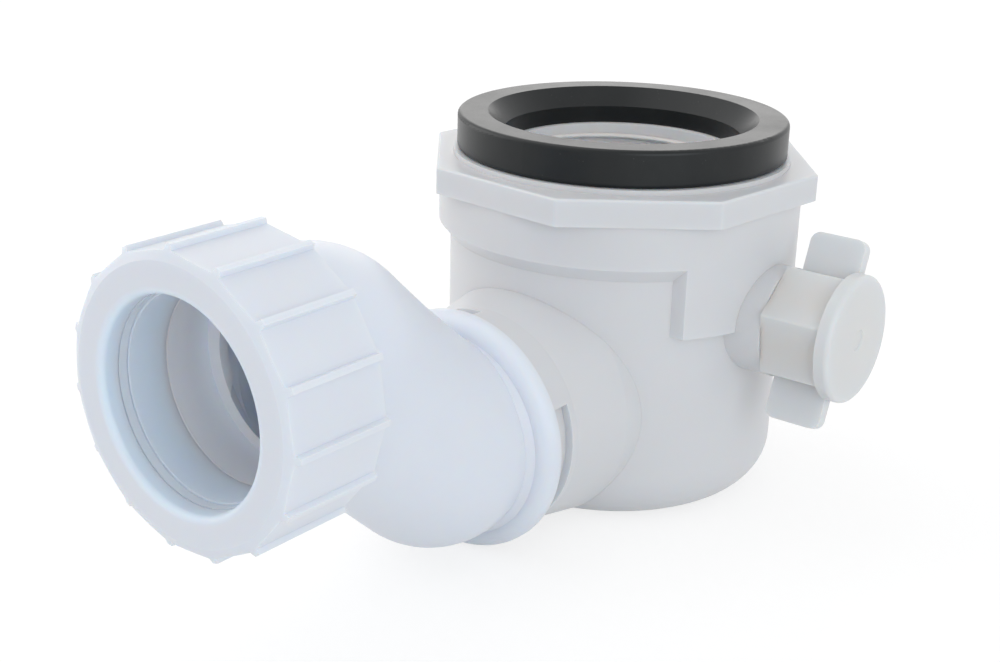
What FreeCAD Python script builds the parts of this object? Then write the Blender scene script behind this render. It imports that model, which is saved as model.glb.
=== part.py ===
"""Bottle-shaped waste trap with a swivelling, rising outlet elbow and a capped side spigot.

Origin: centre of the inlet mouth, on the seat that carries the inlet gasket.
+Z is up along the inlet, +X runs out along the outlet, +Y runs out along the side spigot.
All sizes are millimetres and degrees.
"""
import FreeCAD, Part
import os
import Sketcher
from FreeCAD import Placement, Rotation, Vector

doc = FreeCAD.newDocument("basin_trap")
dims = doc.addObject("Spreadsheet::Sheet", "Dims")

SIZES = [
    # inlet gasket
    ("gasket_r", 43.0), ("gasket_tall", 9.3), ("gasket_edge", 1.1), ("gasket_top_r", 35.2),
    ("gasket_hole_r", 30.8), ("gasket_hole_tall", 4.5),
    ("seat_z", "=0"),
    ("inlet_plane_z", "=seat_z + gasket_tall"),
    ("gasket_hole_z", "=seat_z + gasket_hole_tall"),
    # flange, collar and wall of the body
    ("inlet_drop", 98.0), ("seat_r", 44.0), ("seat_tall", 1.25), ("flat_half", 48.0), ("octagon_tall", 6.8),
    ("octagon_sides", 8), ("octagon_turn", 16.5), ("octagon_round", 1.3), ("octagon_edge", 0.6),
    ("collar_r", 47.5), ("collar_tall", 10.9), ("collar_taper", 3.6), ("wall_r", 44.4), ("base_round", 13.0),
    ("wall_thick", 3.0), ("mouth_r", 28.9), ("mouth_deep", 16.0), ("hub_thick", 2.8), ("roof_thick", 4.2),
    ("base_z", "=inlet_plane_z - inlet_drop"),
    ("flange_z", "=seat_z - seat_tall"),
    ("octagon_low_z", "=flange_z - octagon_tall"),
    ("octagon_corner_r", "=flat_half / cos(180deg / octagon_sides)"),
    ("taper_top_z", "=octagon_low_z - collar_tall"),
    ("taper_low_z", "=taper_top_z - collar_taper"),
    ("floor_z", "=base_z + wall_thick"),
    ("chamber_r", "=wall_r - wall_thick"),
    ("chamber_round", "=base_round - wall_thick"),
    ("hub_r", "=mouth_r + hub_thick"),
    ("roof_z", "=seat_z - roof_thick"),
    ("mouth_low_z", "=seat_z - mouth_deep"),
    # raised pad round the side spigot
    ("pad_low_drop", 46.0), ("pad_side_x", 27.5), ("pad_root_y", 30.0), ("pad_far_y", 60.0),
    ("pad_low_z", "=inlet_plane_z - pad_low_drop"),
    ("pad_tall", "=octagon_low_z - pad_low_z"),
    # outlet stub of the body
    ("outlet_rise", 30.0), ("stub_wall", 3.5), ("stub_x", 64.0), ("flare_rise", 3.0), ("flare_x", 55.0),
    ("flare_root_x", 38.0), ("stub_core_x", 30.0), ("socket_ledge", 4.0), ("stub_bore_x", 20.0),
    ("socket_floor_x", 49.0), ("spigot_play", 0.3), ("cut_over", 1.0),
    ("window_x", 57.0), ("window_floor", 1.5), ("window_span", 112.0),
    ("window_turn", 1.0), ("trim_half", 80.0), ("trim_deep", 10.0),
    ("outlet_z", "=base_z + outlet_rise"),
    ("socket_r", "=elbow_r + spigot_play"),
    ("stub_bore_r", "=socket_r - socket_ledge"),
    ("stub_r", "=socket_r + stub_wall"),
    ("flare_r", "=stub_r + flare_rise"),
    ("window_floor_r", "=socket_r + window_floor"),
    ("window_cut_r", "=flare_r + cut_over"),
    ("stub_over_x", "=stub_x + cut_over"),
    ("window_long", "=stub_over_x - window_x"),
    ("trim_z", "=base_z - trim_deep"),
    ("trim_wide", "=2 * trim_half"),
    # side spigot of the body
    ("spigot_rise", 52.5), ("shank_r", 14.0), ("spigot_r", 10.9), ("spigot_y", 66.3),
    ("spigot_bore_r", 8.3), ("spigot_core_y", 38.0), ("spigot_bore_y", 30.0), ("spigot_lead", 1.0),
    ("spigot_thread_deep", 0.8), ("cap_seat_gap", 0.1),
    ("shank_y", "=cap_y - cap_seat_gap"),
    ("spigot_z", "=base_z + spigot_rise"),
    ("spigot_lead_r", "=spigot_r - spigot_lead"),
    ("spigot_lead_y", "=spigot_y - spigot_lead"),
    ("spigot_over_y", "=spigot_y + cut_over"),
    # outlet elbow
    ("elbow_r", 24.2), ("elbow_wall", 3.7), ("elbow_tip_x", 50.5), ("disc_gap", 0.3),
    ("disc_overhang", 2.0), ("disc_thick", 4.6), ("disc_edge", 3.6), ("disc_cove", 1.6),
    ("bend_low_x", 76.5), ("bend_high_x", 116.5), ("bend_swell", 0.7), ("ball_end", 20.0),
    ("waist_in", 0.7), ("waist_half", 8.0),
    ("outlet_lift", 33.3), ("groove_x", 53.2), ("groove_wide", 3.4), ("groove_deep", 2.7),
    ("thread_x", 125.0), ("thread_r", 26.2), ("thread_deep", 1.0), ("elbow_end_x", 141.0),
    ("stop_x", 122.5), ("stop_thick", 2.5), ("stop_lip", 2.1), ("pipe_r", 21.5), ("pipe_play", 0.5),
    ("bevel_x", 136.3), ("bevel_r", 25.0),
    ("nut_z", "=outlet_z + outlet_lift"),
    ("elbow_bore_r", "=elbow_r - elbow_wall"),
    ("stop_r", "=elbow_bore_r - stop_lip"),
    ("bend_r", "=elbow_r + bend_swell"),
    ("waist_r", "=bend_r - waist_in"),
    ("disc_r", "=stub_r + disc_overhang"),
    ("disc_rear_x", "=stub_x + disc_gap"),
    ("disc_front_x", "=disc_rear_x + disc_thick"),
    ("disc_cove_r", "=elbow_r + disc_cove"),
    ("disc_cove_x", "=disc_front_x + disc_cove"),
    ("groove_end_x", "=groove_x + groove_wide"),
    ("groove_r", "=elbow_r - groove_deep"),
    ("rise_run", "=bend_high_x - bend_low_x"),
    ("rise_long", "=sqrt(rise_run ^ 2 + outlet_lift ^ 2)"),
    ("rise_tilt", "=atan2(rise_run; outlet_lift)"),
    ("rise_half", "=rise_long / 2"),
    ("waist_reach", "=rise_half - waist_half"),
    ("waist_end", "=rise_half + waist_half"),
    ("cone_lean", "=atan(waist_reach / waist_r) - acos(bend_r / sqrt(waist_reach ^ 2 + waist_r ^ 2))"),
    ("cone_r", "=bend_r * cos(cone_lean)"),
    ("cone_start", "=bend_r * sin(cone_lean)"),
    ("cone_end", "=rise_long - cone_start"),
    ("elbow_void_x", "=elbow_tip_x - cut_over"),
    ("stop_end_x", "=stop_x + stop_thick"),
    ("pipe_bore_r", "=pipe_r + pipe_play"),
    ("elbow_over_x", "=elbow_end_x + cut_over"),
    # swivel ring
    ("ring_wire_r", 1.4), ("ring_play", 0.05),
    ("ring_r", "=socket_r - ring_play - ring_wire_r"),
    ("ring_x", "=groove_x + groove_wide / 2"),
    # compression nut
    ("nut_face_x", 153.2), ("nut_long", 26.0), ("nut_sides", 15), ("nut_corner_r", 31.9),
    ("nut_turn", 14.1), ("rib_tip_r", 32.9), ("rib_half", 1.2), ("rib_tip_half", 0.7),
    ("rib_root_r", 30.2), ("rib_setback", 0.9),
    ("nut_face_r", 29.5), ("nut_edge_r", 30.3), ("nut_edge_deep", 0.35), ("nut_round_deep", 2.3),
    ("nut_cut_r", 35.0), ("nut_thread_play", 0.4),
    ("nut_hole_r", 22.6), ("nut_hole_round", 1.5), ("nut_lip_long", 4.4),
    ("nut_rear_x", "=nut_face_x - nut_long"),
    ("rib_long", "=nut_long - rib_setback"),
    ("nut_edge_x", "=nut_face_x - nut_edge_deep"),
    ("nut_side_x", "=nut_face_x - nut_round_deep"),
    ("nut_over_x", "=nut_face_x + cut_over"),
    ("nut_under_x", "=nut_rear_x - cut_over"),
    ("nut_thread_r", "=thread_r + thread_deep + nut_thread_play"),
    ("nut_lip_x", "=nut_face_x - nut_lip_long"),
    # slip washer and pipe seal inside the nut
    ("washer_gap", 0.2), ("washer_thick", 2.0), ("washer_r", 26.8), ("washer_hole_r", 22.5),
    ("seal_r", 26.4), ("seal_gap", 0.15), ("seal_tip_r", 22.12), ("seal_tip_x", 136.6),
    ("seal_shoulder_r", 24.9), ("seal_shoulder_x", 141.2),
    ("washer_end_x", "=nut_lip_x - washer_gap"),
    ("washer_x", "=washer_end_x - washer_thick"),
    ("seal_end_x", "=washer_x - seal_gap"),
    # wing cap and its washer
    ("cap_y", 52.2), ("cap_end_y", 71.7), ("hex_r", 15.5), ("hex_round", 0.8), ("cap_disc_r", 16.1),
    ("cap_disc_thick", 3.8), ("cap_wall", 2.6), ("cap_thread_play", 0.3), ("cap_edge", 1.4),
    ("gate_r", 2.4), ("gate_deep", 0.4), ("wing_tip_r", 23.9), ("wing_root_r", 12.6),
    ("wing_thick", 3.4), ("wing_corner", 2.6), ("wing_setback", 1.2), ("wing_end_y", 68.1),
    ("wing_turn", 68.2),
    ("cap_washer_thick", 2.3), ("cap_washer_gap", 0.3), ("cap_washer_r", 11.6),
    ("hex_flat", "=hex_r * cos(30deg)"),
    ("hex_half", "=hex_r / 2"),
    ("wing_y", "=cap_y + wing_setback"),
    ("cap_disc_y", "=cap_end_y - cap_disc_thick"),
    ("hex_long", "=cap_disc_y - cap_y"),
    ("cap_inner_y", "=cap_end_y - cap_wall"),
    ("cap_bore_r", "=spigot_r + spigot_thread_deep + cap_thread_play"),
    ("gate_y", "=cap_end_y - gate_deep"),
    ("gate_rim_r", "=gate_r + gate_deep"),
    ("cap_washer_end_y", "=cap_inner_y - cap_washer_gap"),
    ("cap_washer_y", "=cap_washer_end_y - cap_washer_thick"),
]

for row, (alias, value) in enumerate(SIZES, start=1):
    dims.set("A%d" % row, alias)
    dims.set("B%d" % row, str(value))
    dims.setAlias("B%d" % row, alias)
doc.recompute()

AXIS = "axis"
CLOSE = 0.01
ALONG_X = Rotation(Vector(0, 1, 0), 90)
ALONG_Y = Rotation(Vector(1, 0, 0), -90)


def size(alias):
    """Value of one sheet cell, as a plain number."""
    cell = dims.get(alias)
    return float(getattr(cell, "Value", cell))


def bind(item, prop, alias):
    """Drives one property of an object from one sheet cell."""
    item.setExpression(prop, "Dims." + alias)
    return item


def origin_plane(body, role):
    """Origin plane of a body, found by its role."""
    return [entry for entry in body.Origin.OriginFeatures if entry.Role == role][0]


def outline(body, name, role, corners, lift=None):
    """Closed sketch through corners, each given by the sheet names of its two coordinates."""
    sketch = body.newObject("Sketcher::SketchObject", name)
    sketch.AttachmentSupport = [(origin_plane(body, role), "")]
    sketch.MapMode = "FlatFace"
    if lift:
        bind(sketch, "AttachmentOffset.Base.z", lift)
    signed = [[(-1.0, key[1:]) if key.startswith("-") else (1.0, key) for key in corner]
              for corner in corners]
    spots = [Vector(*[0.0 if key == AXIS else sign * size(key) for sign, key in corner])
             for corner in signed]
    count = len(spots)
    for i in range(count):
        sketch.addGeometry(Part.LineSegment(spots[i], spots[(i + 1) % count]))
    for i in range(count):
        sketch.addConstraint(Sketcher.Constraint("Coincident", i, 2, (i + 1) % count, 1))
    for i, corner in enumerate(signed):
        for (sign, key), kind, base in zip(corner, ("DistanceX", "DistanceY"), (-2, -1)):
            if key == AXIS:
                sketch.addConstraint(Sketcher.Constraint("PointOnObject", i, 1, base))
                continue
            place = sketch.addConstraint(Sketcher.Constraint(kind, -1, 1, i, 1, sign * size(key)))
            sketch.setExpression("Constraints[%d]" % place, ("-" if sign < 0 else "") + "Dims." + key)
    return sketch


def revolve(body, kind, name, corners):
    """Full turn of a (radius, height) outline about the body's own Z axis."""
    sketch = outline(body, name + "_outline", "XZ_Plane", corners)
    feature = body.newObject("PartDesign::" + kind, name)
    feature.Profile = sketch
    feature.ReferenceAxis = (sketch, ["V_Axis"])
    feature.Angle = 360
    body.Tip = feature
    doc.recompute()
    return feature


def turned(name, corners, turn=None, lift=None):
    """Body made by turning one outline, laid along the given direction at the given height."""
    body = doc.addObject("PartDesign::Body", name)
    revolve(body, "Revolution", name + "_turn", corners)
    if turn:
        body.Placement = Placement(Vector(), turn)
    if lift:
        bind(body, "Placement.Base.z", lift)
    return body


def rounded(body, name, radius, chosen):
    """Fillet of the edges that the test picks from the body's tip."""
    base = body.Tip
    edges = ["Edge%d" % i for i, edge in enumerate(base.Shape.Edges, start=1) if chosen(edge)]
    fillet = body.newObject("PartDesign::Fillet", name)
    fillet.Base = (base, edges)
    bind(fillet, "Radius", radius)
    body.Tip = fillet
    doc.recompute()
    return fillet


def ring_at(radius, height):
    """Test for a level circular edge of the given radius and height."""
    def test(edge):
        curve = edge.Curve
        return (isinstance(curve, Part.Circle) and abs(curve.Radius - size(radius)) < CLOSE
                and abs(curve.Center.z - size(height)) < CLOSE)
    return test


def solid(kind, name, bound, turn=None, spot=None):
    """Part primitive with its sizes and its position driven by the sheet."""
    item = doc.addObject("Part::" + kind, name)
    for prop, alias in bound.items():
        bind(item, prop, alias)
    if turn:
        item.Placement = Placement(Vector(), turn)
    for axis, alias in (spot or {}).items():
        bind(item, "Placement.Base." + axis, alias)
    return item


def joined(name, pieces):
    """Union of several objects."""
    item = doc.addObject("Part::MultiFuse", name)
    item.Shapes = pieces
    return item


def cut(name, base, tool):
    """First object less the second."""
    item = doc.addObject("Part::Cut", name)
    item.Base, item.Tool = base, tool
    return item


def shared(name, pieces):
    """Common volume of several objects."""
    item = doc.addObject("Part::MultiCommon", name)
    item.Shapes = pieces
    return item


def body_shell():
    """Round pot with the gasket seat, the collar and the rounded base."""
    shell = turned("pot", [
        (AXIS, "seat_z"), ("seat_r", "seat_z"), ("seat_r", "flange_z"), ("collar_r", "flange_z"),
        ("collar_r", "taper_top_z"), ("wall_r", "taper_low_z"), ("wall_r", "base_z"), (AXIS, "base_z")])
    rounded(shell, "base_edge", "base_round", ring_at("wall_r", "base_z"))
    return shell


def regular_plan(body, name, sides, corner_r, lift):
    """Sketch of a regular many-sided plan, inscribed in its corner circle."""
    sketch = body.newObject("Sketcher::SketchObject", name)
    sketch.AttachmentSupport = [(origin_plane(body, "XY_Plane"), "")]
    sketch.MapMode = "FlatFace"
    bind(sketch, "AttachmentOffset.Base.z", lift)
    count = int(size(sides))
    step = Rotation(Vector(0, 0, 1), 360.0 / count)
    spots = [Vector(size(corner_r), 0, 0)]
    for _ in range(count - 1):
        spots.append(step.multVec(spots[-1]))
    for i in range(count):
        sketch.addGeometry(Part.LineSegment(spots[i], spots[(i + 1) % count]))
    guide = sketch.addGeometry(Part.Circle(Vector(), Vector(0, 0, 1), size(corner_r)), True)
    for i in range(count):
        sketch.addConstraint(Sketcher.Constraint("Coincident", i, 2, (i + 1) % count, 1))
    sketch.addConstraint(Sketcher.Constraint("Coincident", guide, 3, -1, 1))
    for i in range(count):
        sketch.addConstraint(Sketcher.Constraint("PointOnObject", i, 1, guide))
    for i in range(1, count):
        sketch.addConstraint(Sketcher.Constraint("Equal", 0, i))
    sketch.addConstraint(Sketcher.Constraint("PointOnObject", 0, 1, -1))
    place = sketch.addConstraint(Sketcher.Constraint("Radius", guide, size(corner_r)))
    sketch.setExpression("Constraints[%d]" % place, "Dims." + corner_r)
    return sketch


def padded(body, name, plan, length):
    """Pad of one sketch along its normal."""
    feature = body.newObject("PartDesign::Pad", name)
    feature.Profile = plan
    bind(feature, "Length", length)
    body.Tip = feature
    doc.recompute()
    return feature


def upright(edge):
    """Test for a straight edge along the body's own Z axis."""
    return isinstance(edge.Curve, Part.Line) and abs(edge.Curve.Direction.z) > 0.999


def octagon_flange():
    """Eight flats for a spanner, with rounded corners and a softened upper edge."""
    body = doc.addObject("PartDesign::Body", "octagon_flange")
    plan = regular_plan(body, "octagon_plan", "octagon_sides", "octagon_corner_r", "octagon_low_z")
    padded(body, "octagon_block", plan, "octagon_tall")
    rounded(body, "octagon_corners", "octagon_round", upright)
    rounded(body, "octagon_rim", "octagon_edge",
            lambda edge: all(abs(end.Z - size("flange_z")) < CLOSE for end in edge.Vertexes))
    body.Placement = Placement(Vector(), Rotation(Vector(0, 0, 1), size("octagon_turn")))
    return body


def spigot_pad():
    """Collar carried down round the side spigot, with straight upright sides."""
    body = doc.addObject("PartDesign::Body", "pad_plan")
    padded(body, "pad_block", outline(body, "pad_outline", "XY_Plane", [
        ("pad_side_x", "pad_root_y"), ("pad_side_x", "pad_far_y"), ("-pad_side_x", "pad_far_y"),
        ("-pad_side_x", "pad_root_y")], "pad_low_z"), "pad_tall")
    skin = solid("Cylinder", "pad_skin", {"Radius": "collar_r", "Height": "pad_tall"}, None,
                 {"z": "pad_low_z"})
    return shared("spigot_pad", [body, skin])


def outlet_stub():
    """Socket stub that flares into the wall, trimmed level with the base."""
    stub = turned("stub", [
        (AXIS, "stub_core_x"), ("flare_r", "stub_core_x"), ("flare_r", "flare_root_x"),
        ("stub_r", "flare_x"), ("stub_r", "stub_x"), (AXIS, "stub_x")], ALONG_X, "outlet_z")
    trim = solid("Box", "base_trim", {"Length": "trim_wide", "Width": "trim_wide", "Height": "trim_deep"},
                 None, {"z": "trim_z"})
    trim.setExpression("Placement.Base.y", "-Dims.trim_half")
    return cut("outlet_stub", stub, trim)


def stub_windows():
    """Two opposite windows in the outer wall of the stub, next to the elbow's disc."""
    sectors = []
    for name, extra in (("window_front", 0.0), ("window_back", 180.0)):
        turn = ALONG_X.multiply(Rotation(Vector(0, 0, 1), size("window_turn") + extra))
        sectors.append(solid("Cylinder", name, {"Radius": "window_cut_r", "Height": "window_long",
                                                "Angle": "window_span"}, turn,
                             {"x": "window_x", "z": "outlet_z"}))
    core = solid("Cylinder", "window_core", {"Radius": "window_floor_r", "Height": "window_long"},
                 ALONG_X, {"x": "window_x", "z": "outlet_z"})
    return cut("stub_windows", joined("window_sectors", sectors), core)


def body_voids():
    """Mouth and chamber, outlet socket, spigot bore and stub windows."""
    chamber = turned("chamber", [
        (AXIS, "inlet_plane_z"), ("mouth_r", "inlet_plane_z"), ("mouth_r", "mouth_low_z"),
        ("hub_r", "mouth_low_z"), ("hub_r", "roof_z"), ("chamber_r", "roof_z"), ("chamber_r", "floor_z"),
        (AXIS, "floor_z")])
    rounded(chamber, "floor_edge", "chamber_round", ring_at("chamber_r", "floor_z"))
    socket = turned("socket", [
        (AXIS, "stub_bore_x"), ("stub_bore_r", "stub_bore_x"), ("stub_bore_r", "socket_floor_x"),
        ("socket_r", "socket_floor_x"), ("socket_r", "stub_over_x"), (AXIS, "stub_over_x")],
        ALONG_X, "outlet_z")
    bore = turned("spigot_bore", [
        (AXIS, "spigot_bore_y"), ("spigot_bore_r", "spigot_bore_y"), ("spigot_bore_r", "spigot_over_y"),
        (AXIS, "spigot_over_y")], ALONG_Y, "spigot_z")
    return joined("body_voids", [chamber, socket, bore, stub_windows()])


def trap_body():
    """Moulded body: pot, octagon flange, outlet stub and side spigot in one."""
    spigot = turned("side_spigot", [
        (AXIS, "spigot_core_y"), ("shank_r", "spigot_core_y"), ("shank_r", "shank_y"),
        ("spigot_r", "shank_y"), ("spigot_r", "spigot_lead_y"), ("spigot_lead_r", "spigot_y"),
        (AXIS, "spigot_y")], ALONG_Y, "spigot_z")
    outer = joined("body_outer", [body_shell(), octagon_flange(), spigot_pad(), outlet_stub(), spigot])
    return cut("trap_body", outer, body_voids())


def inlet_gasket():
    """Soft ring with a dished inner slope above an upright hole wall, and rounded outer rims."""
    ring = turned("inlet_gasket", [
        ("gasket_hole_r", "seat_z"), ("gasket_r", "seat_z"), ("gasket_r", "inlet_plane_z"),
        ("gasket_top_r", "inlet_plane_z"), ("gasket_hole_r", "gasket_hole_z")])
    rounded(ring, "gasket_rims", "gasket_edge",
            lambda edge: any(ring_at("gasket_r", level)(edge) for level in ("seat_z", "inlet_plane_z")))
    return ring


def neck_outside(low, high):
    """Two balls joined by a slope that leaves each ball in a cone and is slimmest halfway."""
    tilt = Rotation(Vector(0, 1, 0), size("rise_tilt"))
    slope = turned("neck_slope", [
        (AXIS, "cone_start"), ("cone_r", "cone_start"), ("waist_r", "waist_reach"),
        ("waist_r", "waist_end"), ("cone_r", "cone_end"), (AXIS, "cone_end")], tilt, "outlet_z")
    bind(slope, "Placement.Base.x", "bend_low_x")
    ball_low = solid("Sphere", "ball_low", {"Radius": "bend_r"}, ALONG_X,
                     {"x": "bend_low_x", "z": "outlet_z"})
    ball_high = solid("Sphere", "ball_high", {"Radius": "bend_r", "Angle2": "ball_end"}, ALONG_X,
                      {"x": "bend_high_x", "z": "nut_z"})
    return joined("elbow_outer", [low, high, slope, ball_low, ball_high])


def neck_inside(low, high):
    """Water way of one radius through both level runs and the slope, with half a ball at each corner."""
    slope = solid("Cylinder", "void_slope", {"Radius": "elbow_bore_r", "Height": "rise_long"},
                  Rotation(Vector(0, 1, 0), size("rise_tilt")), {"x": "bend_low_x", "z": "outlet_z"})
    corner_low = solid("Sphere", "void_low", {"Radius": "elbow_bore_r"}, ALONG_X,
                       {"x": "bend_low_x", "z": "outlet_z"})
    corner_low.Angle1 = 0
    corner_high = solid("Sphere", "void_high", {"Radius": "elbow_bore_r"}, ALONG_X,
                        {"x": "bend_high_x", "z": "nut_z"})
    corner_high.Angle2 = 0
    return joined("elbow_void", [low, high, slope, corner_low, corner_high])


def outlet_elbow():
    """Swivelling swan neck: spigot and disc at the trap, threaded pipe socket at the far end."""
    low = turned("elbow_low", [
        (AXIS, "elbow_tip_x"), ("elbow_r", "elbow_tip_x"), ("elbow_r", "groove_x"),
        ("groove_r", "groove_x"), ("groove_r", "groove_end_x"), ("elbow_r", "groove_end_x"),
        ("elbow_r", "disc_rear_x"), ("disc_r", "disc_rear_x"), ("disc_r", "disc_front_x"),
        ("disc_cove_r", "disc_front_x"), ("elbow_r", "disc_cove_x"), ("elbow_r", "bend_low_x"),
        (AXIS, "bend_low_x")], ALONG_X, "outlet_z")
    rounded(low, "disc_rim", "disc_edge", ring_at("disc_r", "disc_front_x"))
    high = turned("elbow_high", [
        (AXIS, "bend_high_x"), ("elbow_r", "bend_high_x"), ("elbow_r", "thread_x"),
        ("thread_r", "thread_x"), ("thread_r", "elbow_end_x"), (AXIS, "elbow_end_x")],
        ALONG_X, "nut_z")
    low_void = turned("elbow_low_void", [
        (AXIS, "elbow_void_x"), ("elbow_bore_r", "elbow_void_x"), ("elbow_bore_r", "bend_low_x"),
        (AXIS, "bend_low_x")], ALONG_X, "outlet_z")
    high_void = turned("elbow_high_void", [
        (AXIS, "bend_high_x"), ("elbow_bore_r", "bend_high_x"), ("elbow_bore_r", "stop_x"),
        ("stop_r", "stop_x"), ("stop_r", "stop_end_x"), ("pipe_bore_r", "stop_end_x"),
        ("pipe_bore_r", "bevel_x"), ("bevel_r", "elbow_end_x"), ("bevel_r", "elbow_over_x"),
        (AXIS, "elbow_over_x")], ALONG_X, "nut_z")
    return cut("outlet_elbow", neck_outside(low, high), neck_inside(low_void, high_void))


def swivel_ring():
    """Round sealing ring in the groove of the elbow's spigot."""
    return solid("Torus", "swivel_ring", {"Radius1": "ring_r", "Radius2": "ring_wire_r"}, ALONG_X,
                 {"x": "ring_x", "z": "outlet_z"})


def compression_nut():
    """Hand nut with flat panels, a raised rib at every corner and a plain lip round the pipe hole."""
    body = doc.addObject("PartDesign::Body", "compression_nut")
    plan = regular_plan(body, "nut_plan", "nut_sides", "nut_corner_r", "nut_rear_x")
    padded(body, "nut_panels", plan, "nut_long")
    rib = padded(body, "nut_rib", outline(body, "rib_plan", "XY_Plane", [
        ("rib_root_r", "-rib_half"), ("rib_tip_r", "-rib_tip_half"), ("rib_tip_r", "rib_tip_half"),
        ("rib_root_r", "rib_half")], "nut_rear_x"), "rib_long")
    ribs = body.newObject("PartDesign::PolarPattern", "nut_ribs")
    ribs.Originals = [rib]
    ribs.Axis = (rib.Profile[0], ["N_Axis"])
    ribs.Angle = 360
    bind(ribs, "Occurrences", "nut_sides")
    body.Tip = ribs
    doc.recompute()
    revolve(body, "Groove", "nut_shoulder", [
        ("nut_face_r", "nut_over_x"), ("nut_face_r", "nut_face_x"), ("nut_edge_r", "nut_edge_x"),
        ("nut_cut_r", "nut_side_x"), ("nut_cut_r", "nut_over_x")])
    revolve(body, "Groove", "nut_bore", [
        (AXIS, "nut_under_x"), ("nut_thread_r", "nut_under_x"), ("nut_thread_r", "nut_lip_x"),
        ("nut_hole_r", "nut_lip_x"), ("nut_hole_r", "nut_over_x"), (AXIS, "nut_over_x")])
    rounded(body, "nut_lip_edge", "nut_hole_round", ring_at("nut_hole_r", "nut_face_x"))
    body.Placement = Placement(Vector(), ALONG_X.multiply(Rotation(Vector(0, 0, 1), size("nut_turn"))))
    return bind(body, "Placement.Base.z", "nut_z")


def slip_washer():
    """Flat ring between the nut's lip and the seal, which lets the nut turn without twisting the seal."""
    return turned("slip_washer", [
        ("washer_hole_r", "washer_x"), ("washer_r", "washer_x"), ("washer_r", "washer_end_x"),
        ("washer_hole_r", "washer_end_x")], ALONG_X, "nut_z")


def pipe_seal():
    """Taper seal that the nut presses into the bevel of the elbow's socket."""
    return turned("pipe_seal", [
        ("pipe_bore_r", "seal_tip_x"), ("seal_tip_r", "seal_tip_x"),
        ("seal_shoulder_r", "seal_shoulder_x"), ("seal_r", "seal_shoulder_x"),
        ("seal_r", "seal_end_x"), ("pipe_bore_r", "seal_end_x")], ALONG_X, "nut_z")


def wing_cap():
    """Six-sided screw cap with a round end, two thumb wings on opposite flats and a moulding gate mark."""
    body = doc.addObject("PartDesign::Body", "wing_cap")
    padded(body, "cap_hex", outline(body, "cap_hex_plan", "XY_Plane", [
        ("hex_flat", "-hex_half"), ("hex_flat", "hex_half"), (AXIS, "hex_r"), ("-hex_flat", "hex_half"),
        ("-hex_flat", "-hex_half"), (AXIS, "-hex_r")], "cap_y"), "hex_long")
    rounded(body, "cap_hex_edges", "hex_round", upright)
    revolve(body, "Revolution", "cap_round", [
        (AXIS, "cap_disc_y"), ("cap_disc_r", "cap_disc_y"), ("cap_disc_r", "cap_end_y"),
        ("gate_rim_r", "cap_end_y"), ("gate_r", "gate_y"), (AXIS, "gate_y")])
    rounded(body, "cap_end_edge", "cap_edge", ring_at("cap_disc_r", "cap_end_y"))
    for name, sign in (("wing_upper", ""), ("wing_lower", "-")):
        wing = body.newObject("PartDesign::Pad", name)
        wing.Profile = outline(body, name + "_plan", "XZ_Plane", [
            (sign + "wing_root_r", "wing_y"), (sign + "wing_tip_r", "wing_y"),
            (sign + "wing_tip_r", "wing_end_y"), (sign + "wing_root_r", "wing_end_y")])
        bind(wing, "Length", "wing_thick")
        wing.Midplane = True
        body.Tip = wing
        doc.recompute()

    def wing_corner(edge):
        ends = [vertex.Point for vertex in edge.Vertexes]
        return (len(ends) == 2 and all(abs(abs(end.x) - size("wing_tip_r")) < CLOSE for end in ends)
                and abs(ends[0].z - ends[1].z) < CLOSE)

    rounded(body, "wing_corners", "wing_corner", wing_corner)
    revolve(body, "Groove", "cap_bore", [
        (AXIS, "shank_y"), ("cap_bore_r", "shank_y"), ("cap_bore_r", "cap_inner_y"), (AXIS, "cap_inner_y")])
    body.Placement = Placement(Vector(), ALONG_Y.multiply(Rotation(Vector(0, 0, 1), size("wing_turn"))))
    return bind(body, "Placement.Base.z", "spigot_z")


def cap_washer():
    """Flat sealing disc in the bottom of the cap."""
    return turned("cap_washer", [
        (AXIS, "cap_washer_y"), ("cap_washer_r", "cap_washer_y"), ("cap_washer_r", "cap_washer_end_y"),
        (AXIS, "cap_washer_end_y")], ALONG_Y, "spigot_z")


pieces = [trap_body(), inlet_gasket(), outlet_elbow(), swivel_ring(), pipe_seal(), slip_washer(),
          compression_nut(), cap_washer(), wing_cap()]
doc.recompute()

for item in doc.Objects:
    if "Invalid" in item.State or "Error" in item.State:
        raise RuntimeError("feature failed: " + item.Name)
os.makedirs("parts", exist_ok=True)
for piece in pieces:
    piece.Label = piece.Name
    shape = piece.Shape
    if shape.isNull() or not shape.isValid() or len(shape.Solids) != 1:
        raise RuntimeError("shape not sound: " + piece.Label)
    shape.exportStep("parts/%s.step" % piece.Label)
    box = shape.BoundBox
    print("%-16s %9.1f mm3  x %.1f..%.1f  y %.1f..%.1f  z %.1f..%.1f" % (
        piece.Label, shape.Volume, box.XMin, box.XMax, box.YMin, box.YMax, box.ZMin, box.ZMax))
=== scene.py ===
# %% [markdown]
# A white plastic basin trap, photographed on white.
# The imported solids already have the right shapes, so they are the frame of this scene. The frame is
# loaded once, nothing in it is moved, and its box is kept; its lowest point sets the floor.

# %% Load the imported solids
import math
import bpy
import numpy as np
from mathutils import Matrix, Vector


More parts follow.
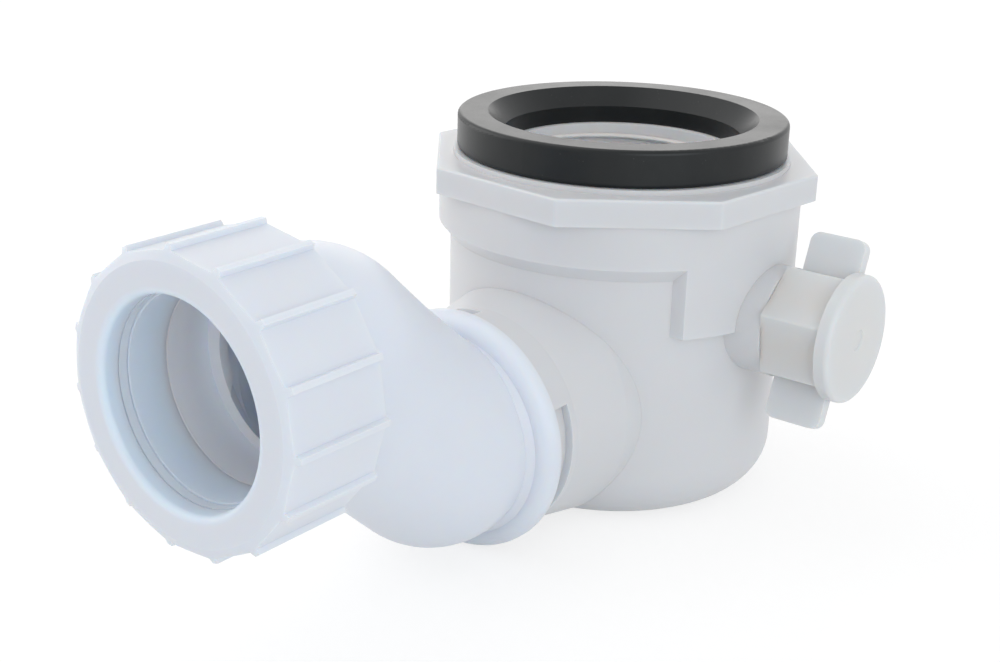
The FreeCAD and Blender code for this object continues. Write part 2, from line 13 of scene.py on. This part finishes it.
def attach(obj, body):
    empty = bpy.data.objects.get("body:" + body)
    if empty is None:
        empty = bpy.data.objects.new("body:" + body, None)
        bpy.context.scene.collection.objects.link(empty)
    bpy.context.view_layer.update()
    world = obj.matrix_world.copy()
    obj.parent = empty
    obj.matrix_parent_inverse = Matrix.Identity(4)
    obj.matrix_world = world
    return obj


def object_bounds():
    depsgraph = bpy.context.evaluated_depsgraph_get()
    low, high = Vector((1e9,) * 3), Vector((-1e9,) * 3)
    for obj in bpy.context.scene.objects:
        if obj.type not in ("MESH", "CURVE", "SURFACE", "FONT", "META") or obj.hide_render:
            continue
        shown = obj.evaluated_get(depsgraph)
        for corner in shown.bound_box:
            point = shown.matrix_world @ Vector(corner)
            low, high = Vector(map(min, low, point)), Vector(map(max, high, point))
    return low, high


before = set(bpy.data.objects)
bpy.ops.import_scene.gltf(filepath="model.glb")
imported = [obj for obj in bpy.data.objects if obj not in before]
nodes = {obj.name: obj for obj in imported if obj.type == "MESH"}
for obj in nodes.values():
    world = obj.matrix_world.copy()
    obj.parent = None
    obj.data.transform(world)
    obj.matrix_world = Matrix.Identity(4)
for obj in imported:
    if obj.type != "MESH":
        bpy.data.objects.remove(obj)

cad_low, cad_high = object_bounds()
scene = bpy.context.scene
MM = 0.001
print("solids:", ", ".join(sorted(nodes)))
print("box in mm:", [round(v / MM, 1) for v in cad_high - cad_low])

# %% [markdown]
# The camera stands where the photographer stood: a little above the gasket, looking down by twenty
# degrees, with the outlet coming towards the lens. Its place was found by laying the circles of the
# gasket, the disc and the nut over the picture, so the lens is given in pixels of the picture and
# turned into millimetres for a sensor of the usual width.

# %% Place the camera
PHOTO_WIDE = 1000
LENS_PIXELS = 1560.6
SENSOR_WIDE = 36.0
CAMERA_OUT = 402.36 * MM
CAMERA_UP = 94.37 * MM
CAMERA_ROUND = math.radians(33.16)
LOOK_ASIDE = -0.0759
LOOK_DOWN = 0.3500
HEAD_TILT = 0.0261
CLIP_NEAR, CLIP_FAR = 0.01, 50


def camera_axes(aside, down, tilt):
    """Right, up and back of a camera that is turned aside, tipped down and rolled, in that order."""
    ahead = Vector((math.sin(aside) * math.cos(down), math.cos(aside) * math.cos(down),
                    -math.sin(down)))
    right = Vector((math.cos(aside), -math.sin(aside), 0))
    up = right.cross(ahead)
    level = math.cos(tilt) * right + math.sin(tilt) * up
    return level, math.cos(tilt) * up - math.sin(tilt) * right, -ahead


def photo_camera():
    """Camera on a circle round the inlet's axis, by distance, height and angle from the outlet."""
    data = bpy.data.cameras.new("photo_camera")
    data.sensor_width = SENSOR_WIDE
    data.lens = LENS_PIXELS * SENSOR_WIDE / PHOTO_WIDE
    data.clip_start, data.clip_end = CLIP_NEAR, CLIP_FAR
    camera = bpy.data.objects.new("photo_camera", data)
    scene.collection.objects.link(camera)
    axes = Matrix(camera_axes(LOOK_ASIDE, LOOK_DOWN, HEAD_TILT)).transposed().to_4x4()
    turn = Matrix.Rotation(CAMERA_ROUND + math.pi / 2, 4, "Z")
    spot = Vector((CAMERA_OUT * math.cos(CAMERA_ROUND), CAMERA_OUT * math.sin(CAMERA_ROUND),
                   CAMERA_UP))
    camera.matrix_world = Matrix.Translation(spot) @ turn @ axes
    scene.camera = camera
    return camera


camera = photo_camera()
print("camera at mm:", [round(v / MM, 1) for v in camera.location],
      "lens mm:", round(camera.data.lens, 2))

# %% [markdown]
# Every finish below is drawn by nodes on the object's own coordinates, so it stays on the piece when
# the piece turns. A few helpers keep the node code short: one makes an empty group with named
# sockets, one adds a noise, one turns a band of values into a mask between 0 and 1, and two add plain
# sums and mixed colours.

# %% Helpers for node groups
FLOAT, COLOUR, VECTOR = "NodeSocketFloat", "NodeSocketColor", "NodeSocketVector"


def group_with(name, inputs, outputs):
    """Empty shader group with named sockets, and its two end nodes."""
    group = bpy.data.node_groups.new(name, "ShaderNodeTree")
    for way, sockets in (("INPUT", inputs), ("OUTPUT", outputs)):
        for label, kind in sockets:
            group.interface.new_socket(label, in_out=way, socket_type=kind)
    return group, group.nodes.new("NodeGroupInput"), group.nodes.new("NodeGroupOutput")


def feed(tree, socket, entry):
    """Sets a socket to a number, or links another socket to it."""
    if isinstance(entry, (int, float)):
        socket.default_value = entry
    else:
        tree.links.new(entry, socket)


def noise_of(tree, vector, scale, detail, rough=0.5):
    """Noise over the given vector, with its scale in waves per metre."""
    noise = tree.nodes.new("ShaderNodeTexNoise")
    noise.inputs["Scale"].default_value = scale
    noise.inputs["Detail"].default_value = detail
    noise.inputs["Roughness"].default_value = rough
    tree.links.new(vector, noise.inputs["Vector"])
    return noise.outputs["Fac"]


def band_of(tree, value, low, high, out_low=0.0, out_high=1.0):
    """Straight ramp of a value from one range to another, held at both ends."""
    ramp = tree.nodes.new("ShaderNodeMapRange")
    tree.links.new(value, ramp.inputs["Value"])
    feed(tree, ramp.inputs["From Min"], low)
    feed(tree, ramp.inputs["From Max"], high)
    feed(tree, ramp.inputs["To Min"], out_low)
    feed(tree, ramp.inputs["To Max"], out_high)
    return ramp.outputs["Result"]


def tone_mix(tree, factor, first, second):
    """Colour between two colours, by a factor from 0 to 1."""
    mix = tree.nodes.new("ShaderNodeMix")
    mix.data_type = "RGBA"
    for label, entry in (("Factor", factor), ("A", first), ("B", second)):
        socket = [s for s in mix.inputs if s.name == label and s.enabled][0]
        tree.links.new(entry, socket)
    return [s for s in mix.outputs if s.enabled][0]


def math_of(tree, operation, first, second):
    """One step of arithmetic on two values, each a socket or a number."""
    node = tree.nodes.new("ShaderNodeMath")
    node.operation = operation
    feed(tree, node.inputs[0], first)
    feed(tree, node.inputs[1], second)
    return node.outputs["Value"]


print("kinds of socket:", FLOAT, COLOUR, VECTOR)

# %% [markdown]
# Moulded polypropylene is never perfectly even. The melt leaves slow clouds in tone and gloss, the
# spark-eroded mould leaves a fine grain, and handling leaves short dull scuffs. All the hard plastics
# here share these marks, so they are one group, and each plastic gives its own tones and gloss.

# %% Group for moulded plastic
CLOUDS = {"scale": 34, "detail": 3}
GRAIN = {"scale": 2400, "detail": 2}
RIPPLE = {"scale": 160, "detail": 1}
SCUFFS = {"scale": 520, "detail": 4, "rough": 0.7}
PATCHES = {"scale": 60, "detail": 2}
CLOUD_BAND = (0.32, 0.68)
SCUFF_BAND = (0.62, 0.74)
PATCH_BAND = (0.45, 0.65)
SCUFF_DULLING = 0.12
RIPPLE_SHARE = 1.5


def moulded_skin():
    """Tone from slow clouds, roughness from clouds and scuffs, height from grain and ripple."""
    group, enter, leave = group_with(
        "moulded_skin",
        [("Tone", COLOUR), ("Deep Tone", COLOUR), ("Low Gloss", FLOAT), ("High Gloss", FLOAT)],
        [("Color", COLOUR), ("Roughness", FLOAT), ("Height", FLOAT)])
    place = group.nodes.new("ShaderNodeTexCoord").outputs["Object"]
    clouds = band_of(group, noise_of(group, place, **CLOUDS), *CLOUD_BAND)
    grain = noise_of(group, place, **GRAIN)
    ripple = noise_of(group, place, **RIPPLE)
    scuffs = band_of(group, noise_of(group, place, **SCUFFS), *SCUFF_BAND)
    patches = band_of(group, noise_of(group, place, **PATCHES), *PATCH_BAND)
    worn = math_of(group, "MULTIPLY", scuffs, patches)
    dulled = math_of(group, "MULTIPLY", worn, SCUFF_DULLING)
    gloss = band_of(group, clouds, 0.0, 1.0, enter.outputs["Low Gloss"], enter.outputs["High Gloss"])
    waves = math_of(group, "MULTIPLY", ripple, RIPPLE_SHARE)
    tone = tone_mix(group, clouds, enter.outputs["Deep Tone"], enter.outputs["Tone"])
    group.links.new(tone, leave.inputs["Color"])
    group.links.new(math_of(group, "ADD", gloss, dulled), leave.inputs["Roughness"])
    group.links.new(math_of(group, "ADD", grain, waves), leave.inputs["Height"])
    return group


skin_group = moulded_skin()
print("group:", skin_group.name, "with", len(skin_group.nodes), "nodes")

# %% [markdown]
# Rubber is dull and nearly black, but not evenly so. Some of the wax in it comes to the surface as a
# grey bloom, and a little of the powder that frees it from the mould stays behind as pale specks.

# %% Group for moulded rubber
BLOOM = {"scale": 70, "detail": 4, "rough": 0.6}
SPECK_CELLS = 900
SPECK_PLACES = {"scale": 240, "detail": 1}
RUBBER_GRAIN = {"scale": 1900, "detail": 2}
BLOOM_BAND = (0.4, 0.75)
SPECK_BAND = (0.16, 0.08)
PLACE_BAND = (0.6, 0.66)
DULL_BAND = (0.3, 1.6)
RUBBER_GLOSS = (0.28, 0.36)


def rubber_bloom():
    """Tone lifted by bloom clouds and round specks, with a dull grain; specks raise the surface."""
    group, enter, leave = group_with(
        "rubber_bloom", [("Tone", COLOUR), ("Bloom Tone", COLOUR), ("Speck Tone", COLOUR)],
        [("Color", COLOUR), ("Roughness", FLOAT), ("Height", FLOAT)])
    place = group.nodes.new("ShaderNodeTexCoord").outputs["Object"]
    bloom = band_of(group, noise_of(group, place, **BLOOM), *BLOOM_BAND)
    cells = group.nodes.new("ShaderNodeTexVoronoi")
    cells.inputs["Scale"].default_value = SPECK_CELLS
    group.links.new(place, cells.inputs["Vector"])
    rare = band_of(group, noise_of(group, place, **SPECK_PLACES), *PLACE_BAND)
    dots = band_of(group, cells.outputs["Distance"], *SPECK_BAND)
    specks = math_of(group, "MULTIPLY", dots, rare)
    grain = noise_of(group, place, **RUBBER_GRAIN)
    dull = band_of(group, math_of(group, "ADD", bloom, grain), *DULL_BAND, *RUBBER_GLOSS)
    bloomed = tone_mix(group, bloom, enter.outputs["Tone"], enter.outputs["Bloom Tone"])
    specked = tone_mix(group, specks, bloomed, enter.outputs["Speck Tone"])
    group.links.new(specked, leave.inputs["Color"])
    group.links.new(dull, leave.inputs["Roughness"])
    group.links.new(math_of(group, "ADD", grain, specks), leave.inputs["Height"])
    return group


rubber_group = rubber_bloom()
print("group:", rubber_group.name, "with", len(rubber_group.nodes), "nodes")

# %% [markdown]
# White plastic lets light through, so the inside of a pipe or of a nut is lit by its own wall and
# looks paler and bluer than the outside does. That light is painted into the colour here: the same
# paler, bluer painted light serves three bores, and a point takes it when it lies near enough to the
# bore's axis and far enough along it.

# %% Group for painted light inside a bore
BORE_EDGE = 1.5 * MM


def vector_of(tree, operation, first, second=None):
    """Vector node over one or two vectors; length and dot product give a value."""
    node = tree.nodes.new("ShaderNodeVectorMath")
    node.operation = operation
    tree.links.new(first, node.inputs[0])
    if second:
        tree.links.new(second, node.inputs[1])
    return node.outputs["Value" if operation in ("LENGTH", "DOT_PRODUCT") else "Vector"]


def bore_tone():
    """Painted light colour where |offset x axis| is under the radius and offset . axis is past the
    start.
    """
    group, enter, leave = group_with(
        "bore_tone",
        [("Color", COLOUR), ("Painted Light Color", COLOUR), ("Centre", VECTOR), ("Axis", VECTOR),
         ("Radius", FLOAT), ("Start", FLOAT)],
        [("Color", COLOUR)])
    place = group.nodes.new("ShaderNodeTexCoord").outputs["Object"]
    axis, radius, start = (enter.outputs[label] for label in ("Axis", "Radius", "Start"))
    offset = vector_of(group, "SUBTRACT", place, enter.outputs["Centre"])
    away = vector_of(group, "LENGTH", vector_of(group, "CROSS_PRODUCT", offset, axis))
    along = vector_of(group, "DOT_PRODUCT", offset, axis)
    # The mask marks the inside of the bore, where painted light replaces the surface colour.
    near = band_of(group, away, math_of(group, "ADD", radius, BORE_EDGE), radius)
    past = band_of(group, along, start, math_of(group, "ADD", start, BORE_EDGE))
    inside = math_of(group, "MULTIPLY", near, past)
    tone = tone_mix(group, inside, enter.outputs["Color"], enter.outputs["Painted Light Color"])
    group.links.new(tone, leave.inputs["Color"])
    return group


bore_light_group = bore_tone()
print("group:", bore_light_group.name, "with", len(bore_light_group.nodes), "nodes")

# %% [markdown]
# Each finish is one Principled shader fed by a group. Light goes a little way into white
# polypropylene, and further into the undyed plastic of the cap, so the plastics have some subsurface
# light. Its amount is the same all over a piece, so it is set on the shader itself.

# %% Helpers for the finishes
LIGHT_REACH = (0.5, 0.75, 1.0)
LIGHT_SHARE = 0.6
RELIEF_STRENGTH = 0.3
PLASTIC_RELIEF = 0.012 * MM
RUBBER_RELIEF = 0.02 * MM
RUBBER_SHINE = 0.3


def placed(tree, group, values):
    """Group placed in a material, with constant values on its named inputs."""
    node = tree.nodes.new("ShaderNodeGroup")
    node.node_tree = group
    for label, value in values.items():
        socket = node.inputs[label]
        socket.default_value = (*value, 1) if socket.type == "RGBA" else value
    return node


def material_with(name, group, values, relief_deep, bore=None):
    """Colour, roughness and relief from a group with the given values, plus a bore's painted light.
    """
    material = bpy.data.materials.new(name)
    material.use_nodes = True
    tree = material.node_tree
    shader = tree.nodes["Principled BSDF"]
    surface = placed(tree, group, values)
    tone = surface.outputs["Color"]
    # A bore's paler, bluer painted light is mixed over the surface colour here.
    if bore:
        inner = placed(tree, bore_light_group, bore)
        tree.links.new(tone, inner.inputs["Color"])
        tone = inner.outputs["Color"]
    relief = tree.nodes.new("ShaderNodeBump")
    relief.inputs["Strength"].default_value = RELIEF_STRENGTH
    relief.inputs["Distance"].default_value = relief_deep
    tree.links.new(tone, shader.inputs["Base Color"])
    tree.links.new(surface.outputs["Roughness"], shader.inputs["Roughness"])
    tree.links.new(surface.outputs["Height"], relief.inputs["Height"])
    tree.links.new(relief.outputs["Normal"], shader.inputs["Normal"])
    return material, shader


def plastic(name, tone, deep_tone, gloss, depth_mm, bore=None):
    """Moulded plastic of two close tones, its roughness between two values, lit to a depth."""
    values = {"Tone": tone, "Deep Tone": deep_tone, "Low Gloss": gloss[0], "High Gloss": gloss[1]}
    material, shader = material_with(name, skin_group, values, PLASTIC_RELIEF, bore)
    shader.inputs["Subsurface Weight"].default_value = LIGHT_SHARE
    shader.inputs["Subsurface Radius"].default_value = LIGHT_REACH
    shader.inputs["Subsurface Scale"].default_value = depth_mm * MM
    return material


def rubber(name, tone, bloom_tone, speck_tone):
    """Moulded rubber with its bloom and specks, less shiny head on than plastic is."""
    values = {"Tone": tone, "Bloom Tone": bloom_tone, "Speck Tone": speck_tone}
    material, shader = material_with(name, rubber_group, values, RUBBER_RELIEF)
    shader.inputs["Specular IOR Level"].default_value = RUBBER_SHINE
    return material


def bore_light_at(tone, centre, axis, radius_mm, start_mm):
    """Values for one bore: its painted light colour, a point on its axis, its direction, width and
    start.
    """
    return {"Painted Light Color": tone, "Centre": centre, "Axis": axis, "Radius": radius_mm * MM,
            "Start": start_mm * MM}


def grey(value):
    """Colour with three equal parts."""
    return (value, value, value)


print("light goes into white plastic in the shares", LIGHT_REACH, "for red, green and blue")

# %% [markdown]
# The body is a neutral white, while the elbow and the nut come from a bluer batch. The washer and
# the seal, and the nut's lip in front of them, are painted paler and bluer than that: white plastic
# with painted light for the light that falls on them from two sides. The cap has no dye at all and
# lets light in the furthest.

# %% Make the finishes
NUT_AXIS = (0, 0, -25.4 * MM)
# Ring tones: white plastic with painted light from two sides, for the seal, the washer and the nut's
# lip.
LIT_RING_TONE, LIT_RING_DEEP_TONE = (0.75, 0.84, 0.98), (0.73, 0.82, 0.96)
# Paler, bluer painted light inside the body's mouth, the elbow's socket and the nut's lip.
MOUTH_LIGHT = bore_light_at((0.86, 0.865, 0.89), centre=(0, 0, 0), axis=(0, 0, 1), radius_mm=29.2, start_mm=-20)
SOCKET_LIGHT = bore_light_at((0.86, 0.87, 0.90), centre=NUT_AXIS, axis=(1, 0, 0), radius_mm=22.6, start_mm=112)
LIP_LIGHT = bore_light_at(LIT_RING_TONE, centre=NUT_AXIS, axis=(1, 0, 0), radius_mm=23.0, start_mm=112)

FINISHES = {
    "trap_body": plastic("body_plastic", (0.71, 0.715, 0.735), (0.695, 0.70, 0.72),
                         gloss=(0.36, 0.44), depth_mm=3.0, bore=MOUTH_LIGHT),
    "inlet_gasket": rubber("gasket_rubber", (0.008, 0.010, 0.011), (0.013, 0.015, 0.016),
                           grey(0.035)),
    "outlet_elbow": plastic("elbow_plastic", (0.77, 0.805, 0.875), (0.755, 0.79, 0.86),
                            gloss=(0.36, 0.44), depth_mm=3.0, bore=SOCKET_LIGHT),
    "swivel_ring": rubber("ring_rubber", grey(0.012), grey(0.02), grey(0.08)),
    "pipe_seal": plastic("seal_elastomer", LIT_RING_TONE, LIT_RING_DEEP_TONE,
                         gloss=(0.5, 0.6), depth_mm=3.0),
    "slip_washer": plastic("washer_plastic", LIT_RING_TONE, LIT_RING_DEEP_TONE,
                           gloss=(0.42, 0.5), depth_mm=3.0),
    "compression_nut": plastic("nut_plastic", (0.765, 0.795, 0.86), (0.75, 0.78, 0.845),
                               gloss=(0.38, 0.46), depth_mm=3.0, bore=LIP_LIGHT),
    "cap_washer": rubber("washer_rubber", grey(0.02), grey(0.03), grey(0.10)),
    "wing_cap": plastic("cap_plastic", (0.73, 0.735, 0.74), (0.70, 0.705, 0.71),
                        gloss=(0.32, 0.42), depth_mm=5.0),
}
for name, material in FINISHES.items():
    nodes[name].data.materials.clear()
    nodes[name].data.materials.append(material)
print("finishes:", ", ".join(material.name for material in FINISHES.values()))

# %% [markdown]
# The solids carry their screw threads as plain cylinders at the root, because a thread is fine
# detail. Here each thread gets its ridge: a narrow profile with sloping flanks, carried along a
# helix, sunk a little into the wall it stands on and tapered away over half a turn at both ends. One
# function serves all five threads, those that stand out of a spigot and those that stand into a hole.

# %% Work out a thread ridge
STEPS_PER_TURN = 72
SUNK = 0.25 * MM
PROFILE_ACROSS = (-0.30, -0.24, -0.11, 0.11, 0.24, 0.30)
PROFILE_OUT = (-1.0, 0.0, 1.0, 1.0, 0.0, -1.0)
END_WIDTH = 0.35
AXES = {"X": (1, 2, 0), "Y": (2, 0, 1), "Z": (0, 1, 2)}


def ridge_points(axis, centre, root_r, tall, pitch, start, length, phase=0.0):
    """Closed profile of six points along a right-hand helix.

    A point at helix angle a and profile station (s, h) lies at radius root + h * fade(a) and at
    height start + pitch * a / full turn + s * pitch, where h runs from just under the wall to the
    ridge's height, and fade rises from 0 to 1 over half a turn and falls again at the far end. As
    it fades, the profile sinks under the wall and narrows.
    """
    turns = length / pitch
    angle = np.linspace(0, 2 * np.pi * turns, int(STEPS_PER_TURN * turns) + 1)
    along = np.clip(np.minimum(angle, angle[-1] - angle) / np.pi, 0, 1)
    fade = (along * along * (3 - 2 * along))[:, None]
    across = np.array(PROFILE_ACROSS)[None, :] * pitch
    out = np.array(PROFILE_OUT)[None, :]
    sink = -math.copysign(SUNK, tall)
    radius = root_r + np.where(out > 0, tall * fade + sink * (1 - fade), sink * (out < 0))
    radius = radius + np.where(out == 0, sink * (1 - fade), 0)
    width = END_WIDTH + (1 - END_WIDTH) * fade
    height = start + pitch * angle[:, None] / (2 * np.pi) + across * width
    first, second, third = AXES[axis]
    points = np.zeros((*radius.shape, 3))
    points[..., first] = radius * np.cos(angle + phase)[:, None]
    points[..., second] = radius * np.sin(angle + phase)[:, None]
    points[..., third] = height
    return points + np.array(centre)


def tube_mesh(name, points):
    """Closed tube through rings of points, flat at both ends, its faces turned outwards."""
    rings, count = points.shape[:2]
    row, column = np.meshgrid(np.arange(rings - 1), np.arange(count), indexing="ij")
    right = (column + 1) % count
    quads = np.stack([row * count + column, row * count + right, (row + 1) * count + right,
                      (row + 1) * count + column], axis=-1).reshape(-1, 4)
    flat = points.reshape(-1, 3)
    a, b, c, d = (flat[quads[:, i]] - flat.mean(axis=0) for i in range(4))
    volume = (np.cross(a, b) * c).sum() + (np.cross(a, c) * d).sum()
    ends = [list(range(count))[::-1], list(range((rings - 1) * count, rings * count))]
    faces = quads.tolist() + ends
    if volume < 0:
        faces = [face[::-1] for face in faces]
    mesh = bpy.data.meshes.new(name)
    mesh.from_pydata(flat.tolist(), [], faces)
    mesh.polygons.foreach_set("use_smooth", np.repeat([True, False], [len(quads), len(ends)]))
    mesh.update()
    return mesh


def thread(name, body, node, slot, **shape):
    """Ridge as an object that rides on a body and takes the finish of the solid it stands on."""
    ridge = bpy.data.objects.new(name, tube_mesh(name, ridge_points(**shape)))
    ridge.data.materials.append(FINISHES[node])
    scene.collection.objects.link(ridge)
    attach(ridge, body)
    print(name, "with", len(ridge.data.polygons), "faces")


# %% [markdown]
# The waste fitting screws into the mouth, whose coarse thread can be seen through the gasket. The nut
# and the cap share one finer pitch, which is how far their joints move them in a turn. The inner
# ridges start half a pitch away from the outer ones, so that they lie in each other's grooves.

# %% Cut the five threads
INLET_PITCH = 2.9 * MM
TRAVEL_PER_RADIAN = 0.367 * MM
SCREW_PITCH = 2 * math.pi * TRAVEL_PER_RADIAN
HALF_PITCH = SCREW_PITCH / 2
CAP_AXIS = (0, 0, -36.2 * MM)
SOCKET_START, SPIGOT_START = 127.4 * MM, 53.6 * MM

thread("inlet_thread_ridge", "trap", "trap_body", "body_plastic", axis="Z", centre=(0, 0, 0),
       root_r=28.9 * MM, tall=-1.1 * MM, pitch=INLET_PITCH, start=-13.6 * MM, length=12.4 * MM,
       phase=0.6)
thread("elbow_thread_ridge", "elbow", "outlet_elbow", "elbow_plastic", axis="X", centre=NUT_AXIS,
       root_r=26.2 * MM, tall=1.0 * MM, pitch=SCREW_PITCH, start=SOCKET_START, length=12.4 * MM)
thread("nut_thread_ridge", "nut", "compression_nut", "nut_plastic", axis="X", centre=NUT_AXIS,
       root_r=27.6 * MM, tall=-0.9 * MM, pitch=SCREW_PITCH, start=SOCKET_START + HALF_PITCH,
       length=12.0 * MM)
thread("spigot_thread_ridge", "trap", "trap_body", "body_plastic", axis="Y", centre=CAP_AXIS,
       root_r=10.9 * MM, tall=0.8 * MM, pitch=SCREW_PITCH, start=SPIGOT_START, length=11.0 * MM)
thread("cap_thread_ridge", "cap", "wing_cap", "cap_plastic", axis="Y", centre=CAP_AXIS,
       root_r=12.0 * MM, tall=-0.7 * MM, pitch=SCREW_PITCH, start=SPIGOT_START + HALF_PITCH,
       length=10.0 * MM)

# %% [markdown]
# The picture was taken in a white studio, with light from all round. Four large soft boxes shape it:
# one above, a bluish one in front on the right, one on the left, and one behind that brightens the
# top of the gasket. The floor shows white to the camera where it is lit, and still takes a pale
# shadow: about a third of its light comes from a plain surface, and the rest is an even glow that
# only camera, glossy and transmitted rays can see, so it puts no light on the object. The world is
# made the same way.

# %% Light the studio
FLOOR_Z = cad_low.z
FLOOR_HALF = 6.0
PAPER_WHITE, SEEN_WHITE, FLOOR_GLOW = 0.85, 0.32, 0.73
AMBIENT = 0.70
SOFTBOXES = {
    "top_softbox": {"spot": (0.15, -0.45, 1.0), "aim": (0.03, 0, -0.04), "wide": 0.9,
                    "watts": 1.8, "colour": (1, 0.99, 0.97)},
    "side_softbox": {"spot": (0.5, 0.95, 0.25), "aim": (0.1, 0, -0.04), "wide": 0.8,
                     "watts": 3.2, "colour": (0.85, 0.94, 1)},
    "left_softbox": {"spot": (0.3, -1.0, 0.3), "aim": (0.03, 0, -0.04), "wide": 0.8,
                     "watts": 2.6, "colour": (1, 0.99, 0.97)},
    "back_softbox": {"spot": (-0.9, -0.6, 0.4), "aim": (0.03, 0, -0.02), "wide": 0.8,
                     "watts": 1.5, "colour": (1, 0.98, 0.95)},
}


def soft_lamp(name, spot, aim, wide, watts, colour):
    """Square area lamp at a point, turned towards another point."""
    data = bpy.data.lights.new(name, "AREA")
    data.size, data.energy, data.color = wide, watts, colour
    lamp = bpy.data.objects.new(name, data)
    lamp.location = spot
    lamp.rotation_euler = (Vector(aim) - Vector(spot)).to_track_quat("-Z", "Y").to_euler()
    scene.collection.objects.link(lamp)


def seen_ray(tree):
    """1 for camera, glossy and transmitted rays, and 0 for the rays that light a surface."""
    path = tree.nodes.new("ShaderNodeLightPath")
    pair = math_of(tree, "MAXIMUM", path.outputs["Is Camera Ray"], path.outputs["Is Glossy Ray"])
    return math_of(tree, "MAXIMUM", pair, path.outputs["Is Transmission Ray"])


def floor_finish():
    """White surface for the light, and a dimmer white surface with an even glow for the eye."""
    material = bpy.data.materials.new("studio_paper")
    material.use_nodes = True
    tree = material.node_tree
    tree.nodes.clear()
    paper, seen, glow = (tree.nodes.new(kind) for kind in
                         ("ShaderNodeBsdfDiffuse", "ShaderNodeBsdfDiffuse", "ShaderNodeEmission"))
    paper.inputs["Color"].default_value = (*grey(PAPER_WHITE), 1)
    seen.inputs["Color"].default_value = (*grey(SEEN_WHITE), 1)
    glow.inputs["Strength"].default_value = FLOOR_GLOW
    both, choice, leave = (tree.nodes.new(kind) for kind in
                           ("ShaderNodeAddShader", "ShaderNodeMixShader", "ShaderNodeOutputMaterial"))
    tree.links.new(seen.outputs["BSDF"], both.inputs[0])
    tree.links.new(glow.outputs["Emission"], both.inputs[1])
    tree.links.new(seen_ray(tree), choice.inputs["Fac"])
    tree.links.new(paper.outputs["BSDF"], choice.inputs[1])
    tree.links.new(both.outputs["Shader"], choice.inputs[2])
    tree.links.new(choice.outputs["Shader"], leave.inputs["Surface"])
    return material


def studio_floor():
    """Large square floor at the object's lowest point."""
    mesh = bpy.data.meshes.new("studio_floor")
    corners = FLOOR_HALF * np.array([[-1, -1], [1, -1], [1, 1], [-1, 1]], float)
    points = np.column_stack([corners, np.full(len(corners), FLOOR_Z)])
    mesh.from_pydata(points.tolist(), [], [list(range(len(corners)))])
    mesh.materials.append(floor_finish())
    floor = bpy.data.objects.new("studio_floor", mesh)
    scene.collection.objects.link(floor)


def white_world():
    """White all round: full strength for rays that see it, dimmer for those that light the object."""
    world = bpy.data.worlds.new("white_studio")
    scene.world = world
    world.use_nodes = True
    tree = world.node_tree
    sky = tree.nodes["Background"]
    sky.inputs["Color"].default_value = (*grey(1), 1)
    tree.links.new(band_of(tree, seen_ray(tree), 0.0, 1.0, AMBIENT, 1.0), sky.inputs["Strength"])


studio_floor()
white_world()
for name, values in SOFTBOXES.items():
    soft_lamp(name, **values)
scene.view_settings.view_transform = "Standard"
print("floor at mm:", round(FLOOR_Z / MM, 1), "lamps:", ", ".join(SOFTBOXES))
